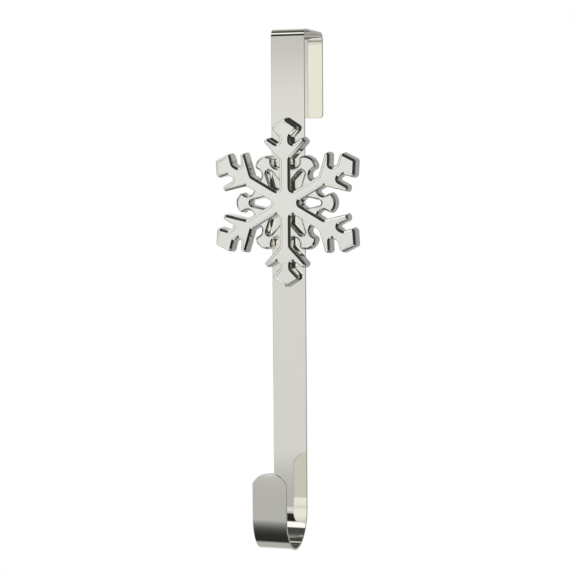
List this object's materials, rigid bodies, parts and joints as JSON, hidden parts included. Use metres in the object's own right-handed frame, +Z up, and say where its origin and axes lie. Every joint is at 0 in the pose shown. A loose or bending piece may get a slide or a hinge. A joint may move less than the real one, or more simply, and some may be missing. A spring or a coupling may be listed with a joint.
{
  "type": "wreath hanger",
  "caption": "Over-the-door wreath hanger: a flat metal strap bent square over a door top, rolled into a round hook below, with a cast snowflake screwed to its front.",
  "frame": {"origin": "middle of the underside of the top band, where the hanger rests on the door's top edge", "axes": "+Z up along the strap, the snowflake and the hook face -Y, X across the strap"},
  "size_m": [0.108, 0.0995, 0.376],
  "materials": {
    "strap_metal": "polished, warm silver",
    "cast_metal": "polished, pale silver",
    "screw_steel": "zinc plated"
  },
  "bodies": {
    "root": {"strap": "strap_metal", "snowflake": "cast_metal", "fixing_screws": "screw_steel"}
  },
  "joints": []
}
